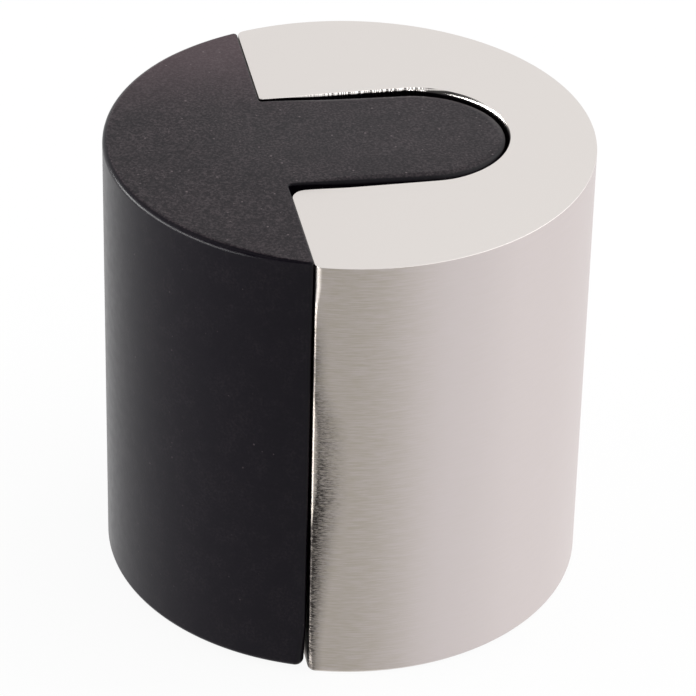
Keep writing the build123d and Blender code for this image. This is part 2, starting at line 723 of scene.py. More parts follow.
@dataclass(frozen=True)
class SatinNickel:
    """Brushed and plated metal: a satin top, and a side brushed round the axis.

    Brushing round the axis leaves fine level lines, so the side's sheen spreads upwards
    and downwards much more than sideways. Near the joint the side has streaks of wear, and
    its colour is painted darker there as shade, standing in for a dimmer reflection.

    Args:
        painted_dark_reflection: the painted dark reflection beside the near corner.
        top_colour: colour of the top and of milled faces.
        bright_colour: colour of the side where it is bright.
        dull_and_shaded_colour: colour of the side in its streaks of wear and in its painted shade.
        top_roughness: roughness of the top.
        milled_roughness: roughness of milled faces.
        side_roughness: roughness of the side.
        side_anisotropy: how far the side's sheen is drawn out.
        sheen_turn: the way in which it is drawn out, in turns from the brushing.
        side_share: share of the side's look, by how far the surface faces up or down.
        painted_shade: share of the darker colour, painted as shade towards the joint, by the place
            on X.
        streaks: the noise of the streaks.
        streak_swing: what the streaks add to that share or take away, by the noise.
        streak_share: share of that swing, by the place on X.
        lines: the noise of the brushed lines.
        line_depth: depth of the brushed lines.
    """

    painted_dark_reflection: PaintedDarkReflection
    top_colour: Colour = (0.717, 0.678, 0.651, 1.0)
    bright_colour: Colour = (0.675, 0.614, 0.610, 1.0)
    dull_and_shaded_colour: Colour = (0.54, 0.487, 0.42, 1.0)
    top_roughness: float = 0.30
    milled_roughness: float = 0.14
    side_roughness: float = 0.46
    side_anisotropy: float = 0.92
    sheen_turn: float = 0.25
    side_share: Ramp = Ramp(0.2, 0.7, 1.0, 0.0)
    # painted shade: the side's colour darker towards the joint
    painted_shade: Ramp = Ramp(-0.004, 0.006, 0.72, 0.08)
    streaks: Grain = Grain((500.0, 500.0, 8500.0), 4.0, 0.65)
    streak_swing: Ramp = Ramp(0.3, 0.7, -0.5, 0.5)
    streak_share: Ramp = Ramp(-0.004, 0.006, 0.75, 0.08)
    lines: Grain = Grain((90.0, 90.0, 9000.0), 3.0, 0.6)
    line_depth: float = 0.000004

    def colour(self, net: ShaderNet, side: Socket) -> Socket:
        """The metal's colour.

        Args:
            net: the shader's nodes.
            side: share of the side's look.

        Returns:
            The colour.
        """
        across = net.place()[0]
        swing = net.ramp(net.noise(self.streaks), self.streak_swing)
        share = net.ramp(across, self.streak_share)
        # darker towards the joint as painted shade, with streaks of wear on top
        dull_and_shade = net.math("MULTIPLY_ADD", swing, share, net.ramp(across, self.painted_shade))
        brushed = net.mix(dull_and_shade, self.bright_colour, self.dull_and_shaded_colour)
        plain = net.mix(side, self.top_colour, brushed)
        # painted dark reflection: ragged dark colour beside the near corner, standing in for
        # reflected shade
        return net.mix(self.painted_dark_reflection.mask(net), plain, self.painted_dark_reflection.colour)

    def material(self) -> bpy.types.Material:
        """Builds the material.

        Returns:
            The material.
        """
        made = bpy.data.materials.new(Slot.METAL.value)
        net = ShaderNet(made)
        milled = net.node("ShaderNodeAttribute", attribute_name=POLISH).outputs["Fac"]
        upright = net.ramp(net.math("ABSOLUTE", net.upward()), self.side_share)
        side = net.product(upright, net.math("SUBTRACT", 1.0, milled))
        even = net.ramp(milled, Ramp(0.0, 1.0, self.top_roughness, self.milled_roughness))
        roughness = net.mix(side, even, self.side_roughness, Blend.NUMBER)
        lines = net.node(
            "ShaderNodeBump",
            {"Strength": side, "Distance": self.line_depth, "Height": net.noise(self.lines)},
        )
        around = net.node("ShaderNodeTangent", direction_type="RADIAL", axis="Z")
        shader = net.node(
            "ShaderNodeBsdfPrincipled",
            {
                "Base Color": self.colour(net, side),
                "Metallic": 1.0,
                "Roughness": roughness,
                "Anisotropic": net.product(side, self.side_anisotropy),
                "Anisotropic Rotation": self.sheen_turn,
                "Normal": lines.outputs[0],
                "Tangent": around.outputs[0],
            },
        )
        net.node("ShaderNodeOutputMaterial", {"Surface": shader.outputs[0]})
        return made


@dataclass(frozen=True)
class Specks:
    """Specks of dust: each cell of a scatter may hold one, of a size set by chance.

    Args:
        scale: cells per metre.
        scatter: whether the cells lie over the plan or through space.
        rarity: share of the cells that stay empty.
        reach: radius of the largest speck, in cells.
        strength: how strong a speck is, by chance.
    """

    scale: float
    scatter: Scatter
    rarity: float
    reach: float
    strength: Ramp

    def mask(self, net: ShaderNet) -> Socket:
        """A mask of the specks.

        Args:
            net: the shader's nodes.

        Returns:
            The mask.
        """
        cells = net.node(
            "ShaderNodeTexVoronoi",
            {"Vector": net.stretched((self.scale,) * 3), "Scale": 1.0},
            voronoi_dimensions=self.scatter.value,
        )
        chances = net.node("ShaderNodeSeparateXYZ", {0: cells.outputs["Color"]}).outputs
        size = net.ramp(chances[0], Ramp(self.rarity, 1.0, 0.0, self.reach))
        within = net.math("LESS_THAN", cells.outputs["Distance"], size)
        return net.product(within, net.ramp(chances[1], self.strength))


@dataclass(frozen=True)
class MouldedRubber:
    """Black moulded rubber: matt, finely grained, with a film and specks of dust on its top.

    Args:
        colour: colour of the clean rubber.
        film_colour: colour of the film.
        dust_colour: colour of the specks and the powder.
        sheen: how strongly the surface reflects.
        mottle: the noise of its roughness.
        roughness: the roughness, by that noise.
        grain: the noise of the moulded grain.
        grain_depth: depth of the grain.
        grain_share: share of that depth, by how far the surface faces up.
        level: share of the top's look, by how far the surface faces up.
        cloud: the noise by which film and powder come and go.
        lighter_to_far_side: share of the film colour, rising towards the far side, by the place on
            Y.
        haze: what the cloud adds to that share.
        powder: the noise of the powder.
        powder_share: share of the powder, by that noise.
        lying: share of the powder that lies on the top, by the cloud.
        clinging: share of the powder that clings to all sides, by the cloud.
        specks: the specks on the top.
        strays: the specks on all sides.
    """

    colour: Colour = (0.0015, 0.0007, 0.0028, 1.0)
    film_colour: Colour = (0.19, 0.12, 0.137, 1.0)
    dust_colour: Colour = (0.188, 0.152, 0.162, 1.0)
    sheen: float = 0.115
    mottle: Grain = Grain((900.0,) * 3, 3.0, 0.6)
    roughness: Ramp = Ramp(0.3, 0.7, 0.28, 0.32)
    grain: Grain = Grain((4200.0,) * 3, 2.0, 0.6)
    grain_depth: float = 0.000008
    grain_share: Ramp = Ramp(0.85, 0.98, 0.4, 1.0)
    level: Ramp = Ramp(0.85, 0.98)
    cloud: Grain = Grain((420.0,) * 3, 4.0, 0.65)
    # the top's colour lighter towards the far side
    lighter_to_far_side: Ramp = Ramp(0.004, 0.021, 0.02, 0.29)
    haze: Ramp = Ramp(0.35, 0.75, 0.0, 0.02)
    powder: Grain = Grain((4200.0,) * 3, 2.0, 0.7)
    powder_share: Ramp = Ramp(0.36, 0.76, 0.0, 0.25)
    lying: Ramp = Ramp(0.3, 0.65, 0.7, 1.0)
    clinging: Ramp = Ramp(0.4, 0.65, 0.02, 0.12)
    specks: Specks = Specks(
        1300.0, Scatter.PLAN, rarity=0.8, reach=0.14, strength=Ramp(0.0, 1.0, 0.1, 0.6)
    )
    strays: Specks = Specks(
        1100.0, Scatter.SPACE, rarity=0.2, reach=0.1, strength=Ramp(0.0, 1.0, 0.03, 0.18)
    )

    def soiled(self, net: ShaderNet, upward: Socket) -> Socket:
        """The rubber's colour under its film and dust.

        Args:
            net: the shader's nodes.
            upward: how far the surface faces up.

        Returns:
            The colour.
        """
        along = net.place()[1]
        level = net.ramp(upward, self.level)
        cloud = net.noise(self.cloud)
        film = net.math("ADD", net.ramp(along, self.lighter_to_far_side), net.ramp(cloud, self.haze))
        powder = net.ramp(net.noise(self.powder), self.powder_share)
        lying = net.product(powder, net.ramp(cloud, self.lying))
        on_top = net.product(net.math("MAXIMUM", lying, self.specks.mask(net)), level)
        clinging = net.product(powder, net.ramp(cloud, self.clinging))
        all_round = net.math("MAXIMUM", self.strays.mask(net), clinging)
        filmed = net.mix(net.product(film, level), self.colour, self.film_colour)
        return net.mix(net.math("MAXIMUM", on_top, all_round), filmed, self.dust_colour)

    def material(self) -> bpy.types.Material:
        """Builds the material.

        Returns:
            The material.
        """
        made = bpy.data.materials.new(Slot.RUBBER.value)
        net = ShaderNet(made)
        upward = net.upward()
        grain = net.node(
            "ShaderNodeBump",
            {
                "Strength": net.ramp(upward, self.grain_share),
                "Distance": self.grain_depth,
                "Height": net.noise(self.grain),
            },
        )
        shader = net.node(
            "ShaderNodeBsdfPrincipled",
            {
                "Base Color": self.soiled(net, upward),
                "Specular IOR Level": self.sheen,
                "Roughness": net.ramp(net.noise(self.mottle), self.roughness),
                "Normal": grain.outputs[0],
            },
        )
        net.node("ShaderNodeOutputMaterial", {"Surface": shader.outputs[0]})
        return made


@dataclass(frozen=True)
class StopSizes:
    """Sizes that the two solids share, in millimetres.

    Args:
        radius: radius of the whole round.
        height: height of the metal.
        lift: height of the rubber's base, and of its top above the metal.
        body_flat_x: where the metal's flat face lies.
        slot_half_width: half the slot's width.
        slot_reach: where the slot's round end lies.
        joint_gap: room between the two flat faces.
        tongue_gap: room on each side of the tongue.
    """

    radius: float
    height: float
    lift: float
    body_flat_x: float
    slot_half_width: float = 8.35
    slot_reach: float = 14.6
    joint_gap: float = 0.2
    tongue_gap: float = 0.5

    @classmethod
    def from_frame(cls) -> "StopSizes":
        """Reads the sizes that the frame shows, and leaves the rest as they are set.

        Returns:
            The sizes.
        """
        low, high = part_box(Solid.BODY.value)
        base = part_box(Solid.BUFFER.value)[0]
        shown = (high[0], high[2], base[2], low[0])
        return cls(*(round(length / METRES_PER_MM, LENGTH_DIGITS) for length in map(float, shown)))

    @property
    def buffer_flat_x(self) -> float:
        """Where the rubber's flat face lies."""
        return self.body_flat_x - self.joint_gap

    @property
    def buffer_top(self) -> float:
        """Height of the rubber's top."""
        return self.height + self.lift

    @property
    def slot_centre_x(self) -> float:
        """Centre of the slot's round end, and of the tongue's."""
        return self.slot_reach - self.slot_half_width

    @property
    def tongue_half_width(self) -> float:
        """Half the tongue's width."""
        return self.slot_half_width - self.tongue_gap

    def corner(self, x: float, corner_radius: float) -> tuple[float, float]:
        """Where the round of an upright corner touches the round outer side.

        The centre is at x, and at y = sqrt((radius - corner radius)^2 - x^2).

        Args:
            x: the centre's place on X.
            corner_radius: the round's radius.

        Returns:
            The centre's place on Y, and the bearing at which the two touch, in degrees.
        """
        y = math.sqrt((self.radius - corner_radius) ** 2 - x**2)
        return y, math.degrees(math.atan2(y, x))


@dataclass
class MetalBody:
    """The metal two thirds of the round, slotted for the tongue and holed for a screw.

    Args:
        sizes: the sizes shared with the buffer.
        finish: the metal's finish.
        corner_radius: radius of the upright corners.
        end_corner_radius: their radius at the base and at the top.
        foot_z: height at which they begin to change to the base.
        crown_z: heights between which they change to the top.
        corner_polish: polish of the upright corners near the top.
        near_mouth_radius: radius of the near corner of the slot's mouth.
        far_mouth_radius: radius of its far corner.
        top_radius: radius of the top edge.
        base_radius: radius of the base edge.
        slot_edge_radius: radius of the slot's top edge along its sides.
        slot_edge_grows: stretch from the mouth along which it grows to that.
        end_edge_height: height of the bevel at the slot's round end.
        end_edge_turn: angles at which the bevel begins and ends, in degrees.
        end_edge_grows: stretch along which the edge turns to the bevel.
        web_thickness: metal left under the slot.
        hole_radius: radius of the screw hole.
        countersink_radius: radius of its countersink at the web's top.
        chatter_depth: depth of the coarse milling marks.
        chatter_pitch: their mean pitch.
        chatter_sway: swings of their pitch, each in turns and in radians per millimetre.
        chatter_span: distances along the slot's wall at which they begin and end.
        chatter_fade: share of the last distance at which they begin to fade.
        fine_depth: depth of the fine milling marks.
        fine_pitch: their pitch.
        mark_fade: stretch at both ends of the slot's wall on which all marks fade.
        corner_points: points round an upright corner.
        round_points: points round the outer side.
        slot_points: points along the slot's far side, its end and its near side.
        hole_points: points round the screw hole.
        web_rows: rows up the web's side.
        wall_rows: rows up the walls above it.
        shown: the surface, once built.
    """

    sizes: StopSizes
    finish: SatinNickel
    corner_radius: float = 0.35
    end_corner_radius: float = 0.85
    foot_z: float = 2.0
    crown_z: tuple[float, float] = (39.5, 42.0)
    corner_polish: float = 0.6
    near_mouth_radius: float = 1.4
    far_mouth_radius: float = 0.3
    top_radius: float = 0.04
    base_radius: float = 0.5
    slot_edge_radius: float = 0.25
    slot_edge_grows: tuple[float, float] = (1.5, 6.0)
    end_edge_height: float = 0.45
    end_edge_turn: tuple[float, float] = (12.0, 33.0)
    end_edge_grows: float = 5.0
    web_thickness: float = 6.0
    hole_radius: float = 2.75
    countersink_radius: float = 5.2
    chatter_depth: float = 0.045
    chatter_pitch: float = 0.47
    chatter_sway: tuple[tuple[float, float], ...] = ((0.9, 1.7), (0.4, 4.1))
    chatter_span: tuple[float, float] = (3.0, 17.0)
    chatter_fade: float = 0.8
    fine_depth: float = 0.004
    fine_pitch: float = 0.19
    mark_fade: float = 1.5
    corner_points: int = 14
    round_points: int = 420
    slot_points: tuple[int, int, int] = (420, 760, 300)
    hole_points: int = 121
    web_rows: int = 3
    wall_rows: int = 14
    shown: bpy.types.Object | None = None

    @property
    def mouth_y(self) -> tuple[float, float]:
        """Where the flat ends at the slot's mouth, on the far side and on the near side."""
        half = self.sizes.slot_half_width
        return half + self.far_mouth_radius, -half - self.near_mouth_radius

    @cached_property
    def mouth_corners(self) -> tuple[PlanPath, PlanPath]:
        """The rounded upright corners of the slot's mouth.

        Returns:
            The far corner and the near one.
        """
        flat, count = self.sizes.body_flat_x, self.corner_points
        far_y, near_y = self.mouth_y
        far, near = self.far_mouth_radius, self.near_mouth_radius
        return (
            PlanPath.arc((flat + far, far_y), far, 180.0, 270.0, count),
            PlanPath.arc((flat + near, near_y), near, 90.0, 180.0, count),
        )

    @cached_property
    def slot_walls(self) -> PlanPath:
        """The slot's two sides and round end, with the marks that milling left on them.

        The path is moved by sines of the distance travelled: a fine one all along, and a
        coarse one of uneven pitch, strongest in the middle of its span. Both fade at the ends.

        Returns:
            The path, from the far side of the mouth to the near one.
        """
        size = self.sizes
        half, centre = size.slot_half_width, size.slot_centre_x
        far_x = size.body_flat_x + self.far_mouth_radius
        near_x = size.body_flat_x + self.near_mouth_radius
        far_count, end_count, near_count = self.slot_points
        plain = PlanPath.chain(
            [
                PlanPath.line((far_x, half), (centre, half), far_count),
                PlanPath.arc((centre, 0.0), half, 90.0, -90.0, end_count),
                PlanPath.line((centre, -half), (near_x, -half), near_count),
            ]
        )
        travel = plain.length()
        begin, end = self.chatter_span
        rising = eased(travel, begin, (begin + end) / 2.0)
        falling = eased(-travel, -end, -self.chatter_fade * end)
        sway = sum(swing * np.sin(rate * travel) for swing, rate in self.chatter_sway)
        turns = travel / self.chatter_pitch + sway
        coarse = self.chatter_depth * rising * falling * np.sin(2.0 * math.pi * turns)
        fine = self.fine_depth * np.sin(2.0 * math.pi * travel / self.fine_pitch)
        fade = eased(np.minimum(travel, travel[-1] - travel), 0.0, self.mark_fade)
        depth = (coarse + fine) * fade
        tilt = np.gradient(depth, travel)
        along = np.column_stack([-plain.normals[:, 1], plain.normals[:, 0]])
        facing = plain.normals + along * tilt[:, None]
        facing /= np.linalg.norm(facing, axis=1, keepdims=True)
        return PlanPath(plain.inset(depth), plain.normals, facing)

    @property
    def sill(self) -> PlanPath:
        """The web's flat face under the slot's mouth.

        Returns:
            The path, from the far side to the near one.
        """
        half = self.sizes.slot_half_width
        far_y, near_y = self.mouth_y
        return PlanPath.across(self.sizes.body_flat_x, (far_y, half, -half, near_y))

    @property
    def circle(self) -> np.ndarray:
        """Points of a circle of radius 1 about the axis."""
        return PlanPath.arc((0.0, 0.0), 1.0, -180.0, 180.0, self.hole_points).points

    def rim(self, corner_radius: float) -> list[PlanPath]:
        """The round outer side, its two upright corners and the flat on both sides of the slot.

        Args:
            corner_radius: radius of the upright corners.

        Returns:
            The near corner, the round, the far corner, the far flat and the near flat.
        """
        flat, count = self.sizes.body_flat_x, self.corner_points
        x = flat + corner_radius
        y, turn = self.sizes.corner(x, corner_radius)
        far_y, near_y = self.mouth_y
        return [
            PlanPath.arc((x, -y), corner_radius, 180.0, 360.0 - turn, count),
            PlanPath.arc((0.0, 0.0), self.sizes.radius, -turn, turn, self.round_points),
            PlanPath.arc((x, y), corner_radius, turn, 180.0, count),
            PlanPath.line((flat, y), (flat, far_y)),
            PlanPath.line((flat, near_y), (flat, -y)),
        ]

    def slot_edge(self, plan: np.ndarray) -> tuple[np.ndarray, np.ndarray, np.ndarray]:
        """The top edge at points of the slot: round along its sides, a steep bevel at its end.

        The height grows from the mouth along the sides and on to the round end. The angles
        between which the edge turns close in from a quarter turn to the bevel's. The radius
        is the height over the difference of their sines.

        Args:
            plan: the points.

        Returns:
            The radius at each point, and the angles at which the edge begins and ends.
        """
        inward = plan[:, 0] - self.sizes.body_flat_x
        past_centre = plan[:, 0] - self.sizes.slot_centre_x
        beside = eased(inward, *self.slot_edge_grows)
        around = eased(past_centre, 0.0, self.end_edge_grows)
        height = self.top_radius + (self.slot_edge_radius - self.top_radius) * beside
        height = height + (self.end_edge_height - self.slot_edge_radius) * around
        first, last = np.radians(self.end_edge_turn)
        begins = first * around
        ends = QUARTER_TURN + (last - QUARTER_TURN) * around
        return height / (np.sin(ends) - np.sin(begins)), begins, ends

    def add_side(self, surface: ClosedSurface) -> None:
        """Adds the outer side and the flat, up to the top edge.

        The polish of an upright corner falls from the flat to the round side, as 1 - t^3.

        Args:
            surface: the surface to add to.
        """
        web, top = self.web_thickness, self.sizes.height
        lower = WallProfile.upright(0.0, web, self.base_radius, 0.0, self.web_rows)
        lower = lower.leaning(self.foot_z, self.base_radius)
        upper = WallProfile.upright(web, top, 0.0, self.top_radius, self.wall_rows)
        upper = upper.leaning(*self.crown_z)
        crown = int(np.searchsorted(upper.height[:, 0], self.crown_z[0]))
        fading = self.corner_polish * (1.0 - np.linspace(0.0, 1.0, self.corner_points - 1) ** 3)
        buffed = (fading, 0.0, fading[::-1], 0.0, 0.0)
        runs, end_runs = self.rim(self.corner_radius), self.rim(self.end_corner_radius)
        for run, end_run, polish in zip(runs, end_runs, buffed):
            surface.wall(run, lower, end_run)
            surface.wall(run, upper.rows(0, crown + 1), end_run)
            surface.polish = polish
            surface.wall(run, upper.rows(crown, None), end_run)
            surface.polish = 0.0
        surface.wall(self.sill, lower)

    def add_slot(self, surface: ClosedSurface) -> None:
        """Adds the slot's milled walls, from the web up to the top.

        Args:
            surface: the surface to add to.
        """
        web, top = self.web_thickness, self.sizes.height
        far_mouth, near_mouth = self.mouth_corners
        surface.polish = 1.0
        for run in (far_mouth, self.slot_walls, near_mouth):
            edge, *turn = self.slot_edge(run.points)
            profile = WallProfile.upright(
                web, top, 0.0, edge, self.wall_rows, top_turn=tuple(turn)
            )
            surface.wall(run, profile)
        surface.polish = 0.0

    def add_top(self, surface: ClosedSurface) -> None:
        """Adds the top, between the outer side's edge and the slot's.

        Args:
            surface: the surface to add to.
        """
        top = self.sizes.height
        far_mouth, near_mouth = self.mouth_corners
        outer = PlanPath.chain(self.rim(self.end_corner_radius)[:3])
        inner = PlanPath.chain([far_mouth, self.slot_walls, near_mouth])
        edge, begins, ends = self.slot_edge(inner.points)
        inset = edge * (np.cos(begins) - np.cos(ends))
        outer_length, inner_length = outer.length(), inner.length()
        surface.band(
            lifted(outer.inset(self.top_radius), top),
            outer_length / outer_length[-1],
            lifted(inner.inset(inset), top)[::-1],
            (inner_length[-1] - inner_length[::-1]) / inner_length[-1],
            UP,
        )

    def add_base(self, surface: ClosedSurface) -> None:
        """Adds the base, between its edge and the screw hole.

        Args:
            surface: the surface to add to.
        """
        *round_side, far_flat, near_flat = self.rim(self.end_corner_radius)
        outline = PlanPath.chain([*round_side, far_flat, self.sill, near_flat])
        outer = lifted(outline.inset(self.base_radius), 0.0)
        surface.ring(outer, lifted(self.hole_radius * self.circle, 0.0), DOWN)

    def add_web(self, surface: ClosedSurface) -> None:
        """Adds the slot's floor, which is the web's top, and the countersunk hole in it.

        Args:
            surface: the surface to add to.
        """
        flat, half, web = self.sizes.body_flat_x, self.sizes.slot_half_width, self.web_thickness
        circle = self.circle
        floor = np.vstack([[(flat, half), (flat, -half)], self.slot_walls.points[::-1]])
        surface.ring(lifted(floor, web), lifted(self.countersink_radius * circle, web), UP)
        for mouth, y in zip(self.mouth_corners, (half, -half)):
            surface.disc(lifted(mouth.points, web), (flat, y, web), 1, UP)
        hole = PlanPath(self.hole_radius * circle, -circle, -circle)
        widening = self.countersink_radius - self.hole_radius
        throat = web - widening
        surface.wall(hole, WallProfile.upright(0.0, throat, 0.0, 0.0, 2))
        surface.wall(hole, WallProfile.slope((0.0, throat), (widening, web)))

    def build(self) -> bpy.types.Object:
        """Builds the closed surface in place of the CAD solid.

        Returns:
            The object.
        """
        surface = ClosedSurface()
        self.add_side(surface)
        self.add_slot(surface)
        self.add_top(surface)
        self.add_base(surface)
        self.add_web(surface)
        self.shown = surface.make("body_surface")
        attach(self.shown, "root")
        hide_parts(Solid.BODY.value)
        return self.shown

    def dress(self) -> None:
        """Gives the surface its finish."""
        self.shown.data.materials.append(self.finish.material())


@dataclass
class RubberBuffer:
    """The rubber third of the round, with the tongue that fills the slot.

    Args:
        sizes: the sizes shared with the body.
        finish: the rubber's finish.
        corner_radius: radius of the upright corners.
        foot_corner_radius: their radius at the base.
        foot_z: height at which they begin to change to it.
        root_radius: radius of the inner corners where the tongue leaves the block.
        joint_edge_radius: radius of the top edge at the joint.
        joint_edge_reach: distance from the joint at which the top edge is whole.
        block_edge_radius: radius of the block's top and base edges.
        tongue_edge_radius: depth of the tongue's top edge into the tongue.
        tongue_edge_drop: height of the tongue's top edge.
        lead_in: size of the bevel under the tongue.
        tongue_base_z: height of the tongue's underside.
        tongue_dip: how far the tongue dips at its tip.
        tongue_set: how far the tongue lies to the far side; less than 0 is to the near one.
        tongue_reach: how far the tongue lies further in at its tip.
        far_sink: how far the tongue's far side sinks.
        joint_set: how far the flat face lies towards the metal, at the base and at the top.
        joint_set_reach: distance from the flat face at which that ends.
        top_hub: how far behind the flat the rings of the top have their centre.
        base_hub: how far behind the flat the fan of the base has its centre.
        top_rings: rings on the top.
        corner_points: points round an upright corner.
        back_points: points round the outer side.
        root_points: points round an inner corner.
        tongue_points: points along the tongue's near side, its end and its far side.
        side_rows: rows up the sides.
        foot_rows: rows up the sides below the tongue.
        shown: the surface, once built.
    """

    sizes: StopSizes
    finish: MouldedRubber
    corner_radius: float = 0.35
    foot_corner_radius: float = 0.8
    foot_z: float = 2.6
    root_radius: float = 0.3
    joint_edge_radius: float = 0.22
    joint_edge_reach: float = 7.0
    block_edge_radius: float = 0.6
    tongue_edge_radius: float = 0.9
    tongue_edge_drop: float = 0.45
    lead_in: float = 1.0
    tongue_base_z: float = 6.2
    tongue_dip: float = 0.32
    tongue_set: float = -0.15
    tongue_reach: float = 0.22
    far_sink: float = 0.3
    joint_set: tuple[float, float] = (-0.06, 0.13)
    joint_set_reach: float = 15.0
    top_hub: float = 2.0
    base_hub: float = 7.0
    top_rings: int = 24
    corner_points: int = 18
    back_points: int = 260
    root_points: int = 10
    tongue_points: tuple[int, int, int] = (60, 160, 60)
    side_rows: int = 10
    foot_rows: int = 3
    shown: bpy.types.Object | None = None

    @property
    def root_y(self) -> float:
        """Where the inner corners begin on the flat, on both sides of the tongue."""
        return self.sizes.tongue_half_width + self.root_radius

    @property
    def sole_half_width(self) -> float:
        """Half the width of the tongue's underside."""
        return self.sizes.tongue_half_width - self.lead_in

    @property
    def tongue_start_z(self) -> float:
        """Height at which the tongue's upright sides begin."""
        return self.tongue_base_z + self.lead_in

    @cached_property
    def tongue(self) -> PlanPath:
        """The tongue's two sides and round end.

        Returns:
            The path, from the near side to the far one.
        """
        half, centre = self.sizes.tongue_half_width, self.sizes.slot_centre_x
        start = self.sizes.buffer_flat_x + self.root_radius
        near_count, end_count, far_count = self.tongue_points
        return PlanPath.chain(
            [
                PlanPath.line((start, -half), (centre, -half), near_count),
                PlanPath.arc((centre, 0.0), half, -90.0, 90.0, end_count),
                PlanPath.line((centre, half), (start, half), far_count),
            ]
        )

    @cached_property
    def roots(self) -> tuple[PlanPath, PlanPath]:
        """The inner corners where the tongue leaves the block.

        Returns:
            The near corner and the far one.
        """
        radius, y, count = self.root_radius, self.root_y, self.root_points
        x = self.sizes.buffer_flat_x + radius
        return (
            PlanPath.arc((x, -y), radius, 180.0, 90.0, count),
            PlanPath.arc((x, y), radius, 270.0, 180.0, count),
        )

    @cached_property
    def section(self) -> list[PlanPath]:
        """The outline of the block and its tongue.

        Returns:
            The back, the near flat, the near root, the tongue, the far root and the far flat.
        """
        back, near_flat, far_flat = self.block(self.corner_radius)
        near_root, far_root = self.roots
        return [back, near_flat, near_root, self.tongue, far_root, far_flat]

    @property
    def front(self) -> PlanPath:
        """The block's flat face below the tongue, from the near root to the far one."""
        root, sole = self.root_y, self.sole_half_width
        return PlanPath.across(self.sizes.buffer_flat_x, (-root, -sole, sole, root))

    def block(self, corner_radius: float) -> tuple[PlanPath, PlanPath, PlanPath]:
        """The block's round outer side with its upright corners, and its flat beside the tongue.

        Args:
            corner_radius: radius of the corners.

        Returns:
            The back, the near flat and the far flat.
        """
        flat, count = self.sizes.buffer_flat_x, self.corner_points
        x = flat - corner_radius
        y, turn = self.sizes.corner(x, corner_radius)
        back = PlanPath.chain(
            [
                PlanPath.arc((x, y), corner_radius, 0.0, turn, count),
                PlanPath.arc((0.0, 0.0), self.sizes.radius, turn, 360.0 - turn, self.back_points),
                PlanPath.arc((x, -y), corner_radius, 360.0 - turn, 360.0, count),
            ]
        )
        near_flat = PlanPath.line((flat, -y), (flat, -self.root_y))
        far_flat = PlanPath.line((flat, self.root_y), (flat, y))
        return back, near_flat, far_flat

    def edge_size(self, plan: np.ndarray, on_tongue: float) -> np.ndarray:
        """A measure of the top edge at plan points: small at the joint, larger away from it.

        Args:
            plan: the points.
            on_tongue: the measure on the tongue.

        Returns:
            The measure at each point.
        """
        away = plan[:, 0] - self.sizes.buffer_flat_x
        on_block = self.block_edge_radius - self.joint_edge_radius
        behind = on_block * eased(-away, 0.0, self.joint_edge_reach)
        ahead = (on_tongue - self.joint_edge_radius) * eased(away, 0.0, self.joint_edge_reach)
        return self.joint_edge_radius + behind + ahead

    def edge_radius(self, plan: np.ndarray) -> np.ndarray:
        """Radius of the top edge at plan points."""
        return self.edge_size(plan, self.tongue_edge_radius)

    def edge_drop(self, plan: np.ndarray) -> np.ndarray:
        """Height of the top edge at plan points."""
        return self.edge_size(plan, self.tongue_edge_drop)

    def settled(self, points: np.ndarray) -> np.ndarray:
        """Points as the rubber sits: the tongue sinks to its tip, and the joint opens downwards.

        The drop is the dip times a smooth step along the tongue, and the sink of its far side
        times smooth steps along and across it, both times the height's share of the whole.
        The tongue's set aside grows by a smooth step along its straight stretch, and its
        reach by one along its front part. The shift along X goes evenly from the joint's set
        at the base to that at the top, and fades as (1 - (d / reach)^2)^2 with the distance d
        from the flat face.

        Args:
            points: points of the rubber as moulded.

        Returns:
            The points moved.
        """
        x, y, z = points.T
        flat, half = self.sizes.buffer_flat_x, self.sizes.tongue_half_width
        centre = self.sizes.slot_centre_x
        tip = centre + half
        share = z / self.sizes.buffer_top
        dip = self.tongue_dip * eased(x, flat, tip)
        far_side = eased(x, flat - half, flat + self.root_radius) * eased(y, -half, half)
        drop = (dip + self.far_sink * far_side) * share
        aside = self.tongue_set * eased(x, flat, centre)
        away = np.clip((x - flat) / self.joint_set_reach, -1.0, 1.0)
        at_base, at_top = self.joint_set
        shift = (at_base + (at_top - at_base) * share) * (1.0 - away**2) ** 2
        reach = self.tongue_reach * eased(x, flat + self.joint_set_reach / 2.0, tip)
        return np.column_stack([x + shift + reach, y + aside, z - drop])

    def add_sides(self, surface: ClosedSurface) -> None:
        """Adds the upright sides: above the tongue's bevel, beside it, and below it.

        Args:
            surface: the surface to add to.
        """
        base, sole, start = self.sizes.lift, self.tongue_base_z, self.tongue_start_z
        top, rows, edge_radius = self.sizes.buffer_top, self.side_rows, self.block_edge_radius
        for run in self.section:
            edge, drop = self.edge_radius(run.points), self.edge_drop(run.points)
            surface.wall(run, WallProfile.upright(start, top, 0.0, edge, rows, drop))
        back, near_flat, far_flat = self.block(self.corner_radius)
        waist = WallProfile.upright(sole, start, 0.0, 0.0, 2)
        for run in (back, near_flat, far_flat):
            surface.wall(run, waist)
        lower = WallProfile.upright(base, sole, edge_radius, 0.0, self.foot_rows)
        lower = lower.leaning(self.foot_z, base + edge_radius)
        foot_back, foot_near, foot_far = self.block(self.foot_corner_radius)
        surface.wall(back, lower, foot_back)
        surface.wall(near_flat, lower, foot_near)
        surface.wall(self.front, lower)
        surface.wall(far_flat, lower, foot_far)

    def add_ends(self, surface: ClosedSurface) -> None:
        """Adds the top, and the block's base.

        Args:
            surface: the surface to add to.
        """
        flat, top, bottom = self.sizes.buffer_flat_x, self.sizes.buffer_top, self.sizes.lift
        outline = PlanPath.chain(self.section)
        level = lifted(outline.inset(self.edge_radius(outline.points)), top)
        surface.disc(level, (flat - self.top_hub, 0.0, top), self.top_rings, UP)
        foot_back, foot_near, foot_far = self.block(self.foot_corner_radius)
        base = PlanPath.chain([foot_back, foot_near, self.front, foot_far])
        under = lifted(base.inset(self.block_edge_radius), bottom)
        surface.disc(under, (flat - self.base_hub, 0.0, bottom), 1, DOWN)

